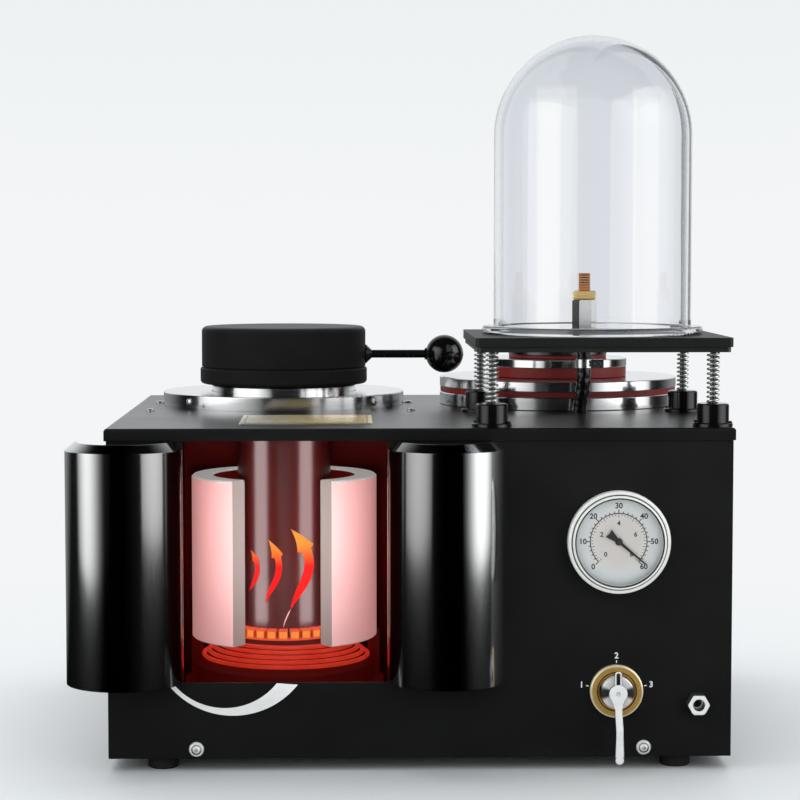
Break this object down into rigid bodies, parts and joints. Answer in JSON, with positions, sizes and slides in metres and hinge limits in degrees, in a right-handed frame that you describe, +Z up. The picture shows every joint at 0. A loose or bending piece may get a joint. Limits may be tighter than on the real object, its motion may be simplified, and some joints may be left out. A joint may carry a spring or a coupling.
{
  "type": "jewelry vacuum casting machine",
  "caption": "Bench machine with a cut-away melting furnace, a glass bell jar on a sprung table, a ringed casting chamber, a vacuum gauge and a lever valve.",
  "frame": {"origin": "centre of the outer box, on the surface that the rubber feet stand on", "axes": "+Z up, +Y to the rear, so the front panel faces -Y; +X to the right when seen from the front"},
  "size_m": [0.6484, 0.5602, 0.7223],
  "materials": {
    "powder_black": "satin powder coat",
    "galvanised": "satin",
    "foot_rubber": "matte",
    "bright_steel": "polished",
    "gloss_black": "gloss lacquer",
    "red_enamel": "satin enamel",
    "red_brick": "matte",
    "glowing_wire": "glowing",
    "glowing_block": "glowing",
    "bush_ceramic": "matte",
    "liner_ceramic": "matte",
    "tube_glass": "satin",
    "black_plastic": "gloss",
    "black_steel": "satin",
    "brass_sheet": "polished",
    "red_silicone": "satin",
    "dark_steel": "satin",
    "spring_steel": "satin",
    "jar_glass": "clear",
    "dial_white": "matte",
    "lever_chrome": "polished",
    "line_copper": "satin"
  },
  "bodies": {
    "machine": {"base_tray": "powder_black", "front_panel": "powder_black", "side_panels": "powder_black", "rear_cover": "powder_black", "top_cover": "powder_black", "partition_wall": "galvanised", "rubber_feet": "foot_rubber", "foot_screws": "bright_steel", "front_screws": "bright_steel", "pan_screws": "bright_steel", "roll_panels": "gloss_black", "furnace_enclosure": "red_enamel", "base_brick": "red_brick", "heating_element": "glowing_wire", "element_terminals": "bush_ceramic", "glowing_ring": "glowing_block", "ceramic_liner": "liner_ceramic", "furnace_tube": "tube_glass", "thermocouple": "bright_steel", "mouth_collar": "bush_ceramic", "furnace_ring": "bright_steel", "ring_screws": "bright_steel", "name_plate": "brass_sheet", "chamber_can": "bright_steel", "chamber_flange": "bright_steel", "large_gasket": "red_silicone", "large_ring": "bright_steel", "spring_cups": "gloss_black", "cup_bolts": "gloss_black", "guide_rods": "spring_steel", "table_springs": "spring_steel", "table_hose": "foot_rubber", "gauge_case": "black_steel", "gauge_bezel": "bright_steel", "gauge_dial": "dial_white", "gauge_glass": "jar_glass", "valve_body": "bright_steel", "escutcheon": "brass_sheet", "pump_port": "bright_steel", "vacuum_lines": "line_copper", "mains_inlet": "black_plastic", "control_module": "galvanised"},
    "furnace_lid": {"lid_rim": "powder_black", "lid_shell": "powder_black", "lid_filling": "bush_ceramic", "lid_handle": "black_steel", "ball_knob": "black_plastic"},
    "table": {"table_plate": "powder_black", "table_pad": "foot_rubber", "fitting_hex": "bright_steel", "fitting_tube": "brass_sheet", "hose_clamp": "bright_steel"},
    "jar": {"bell_jar": "jar_glass"},
    "medium_seal": {"medium_gasket": "red_silicone", "medium_ring": "bright_steel"},
    "small_seal": {"small_gasket": "red_silicone", "small_ring": "dark_steel"},
    "lever": {"valve_lever": "lever_chrome"},
    "needle": {"gauge_needle": "black_plastic"},
    "switch": {"power_switch": "black_plastic"}
  },
  "joints": [
    {"name": "lid_lift", "type": "slide", "parent": "machine", "child": "furnace_lid", "axis": [0, 0, 1], "range_m": [0, 0.15]},
    {"name": "table_float", "type": "slide", "parent": "machine", "child": "table", "axis": [0, 0, 1], "range_m": [-0.0025, 0.0025], "stiffness_N_per_m": 40000, "springref_m": 0.0013, "deforming": ["table_springs", "table_hose"]},
    {"name": "jar_lift", "type": "slide", "parent": "table", "child": "jar", "axis": [0, 0, 1], "range_m": [0, 0.32]},
    {"name": "medium_ring_lift", "type": "slide", "parent": "machine", "child": "medium_seal", "axis": [0, 0, 1], "range_m": [0, 0.1]},
    {"name": "small_ring_lift", "type": "slide", "parent": "medium_seal", "child": "small_seal", "axis": [0, 0, 1], "range_m": [0, 0.1]},
    {"name": "valve_turn", "type": "hinge", "parent": "machine", "child": "lever", "pos_m": [0.2097, -0.23975, 0.0778], "axis": [0, 1, 0], "range_deg": [-90, 90]},
    {"name": "needle_turn", "type": "hinge", "parent": "machine", "child": "needle", "pos_m": [0.2107, -0.22875, 0.2246], "axis": [0, -1, 0], "range_deg": [0, 265], "stiffness_Nm_per_rad": 0.001},
    {"name": "switch_rock", "type": "hinge", "parent": "machine", "child": "switch", "pos_m": [0.2767, 0.27125, 0.089], "axis": [0, 0, -1], "range_deg": [0, 14]}
  ]
}
